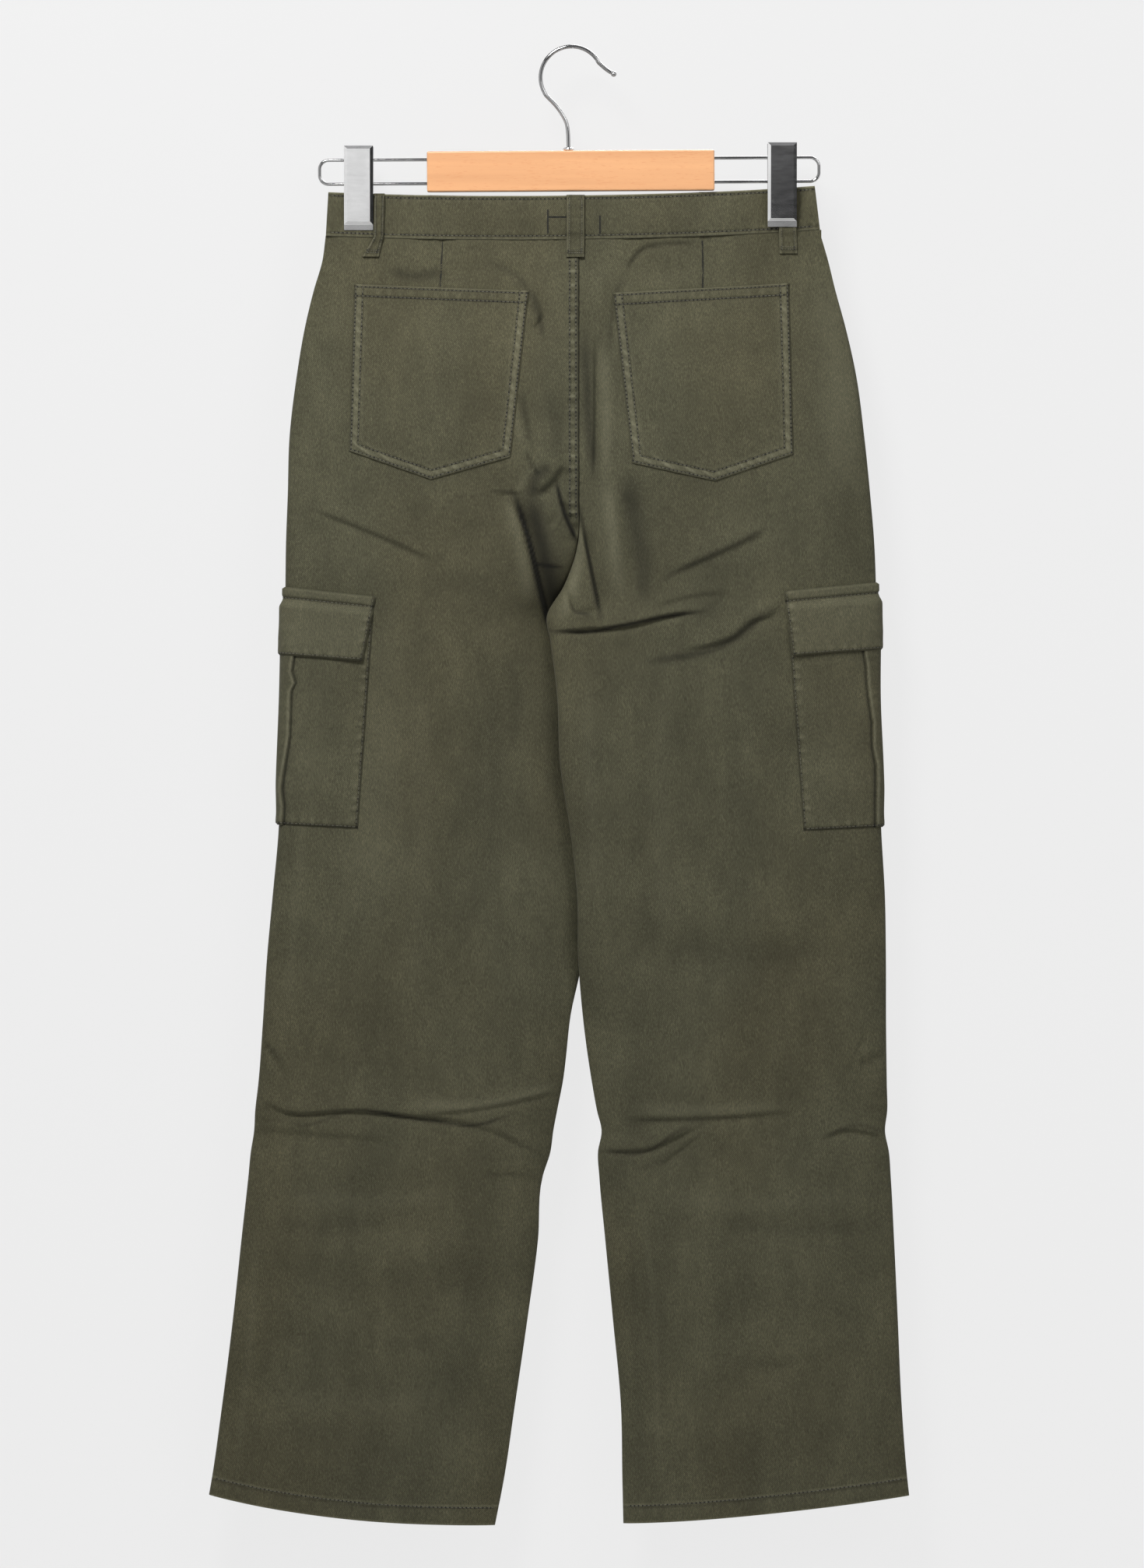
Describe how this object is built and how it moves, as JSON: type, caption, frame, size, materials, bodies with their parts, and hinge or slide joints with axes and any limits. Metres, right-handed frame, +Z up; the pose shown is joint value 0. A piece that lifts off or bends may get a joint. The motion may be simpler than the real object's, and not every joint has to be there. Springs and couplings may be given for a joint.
{
  "type": "cargo pants on a clip hanger",
  "caption": "Straight-leg twill cargo pants with patch, cargo and flap pockets, hung by the waistband from a wooden clip hanger with a wire hook.",
  "frame": {"origin": "top of the hook's inside, where the rail or pin that carries the hanger touches it", "axes": "+Z up, -Y out of the back of the pants (the side in the picture), -X towards the wearer's left side"},
  "size_m": [0.541, 0.0459, 1.143],
  "materials": {
    "twill": "dark olive cotton twill with some stretch, matt, with tonal topstitching",
    "button": "dark tonal button",
    "wood": "light beech with a clear satin varnish",
    "chrome": "polished chrome on steel"
  },
  "bodies": {
    "root": {"back_left": "twill", "back_right": "twill", "front_left": "twill", "front_right": "twill", "waistband_back": "twill", "waistband_front_left": "twill", "waistband_front_right": "twill", "belt_loop_back": "twill", "belt_loop_left_back": "twill", "belt_loop_right_back": "twill", "belt_loop_left_front": "twill", "belt_loop_right_front": "twill", "back_pocket_left": "twill", "back_pocket_right": "twill", "cargo_pocket_left": "twill", "cargo_pocket_right": "twill", "cargo_flap_left": "twill", "cargo_flap_right": "twill", "waist_button": "button", "hanger_bar": "wood", "hanger_hook": "chrome", "hook_collar": "chrome", "hanger_rail_left": "chrome", "hanger_rail_right": "chrome", "clip_left_near": "chrome", "clip_left_far": "chrome", "clip_left_spring": "chrome", "clip_right_near": "chrome", "clip_right_far": "chrome", "clip_right_spring": "chrome"}
  },
  "joints": []
}
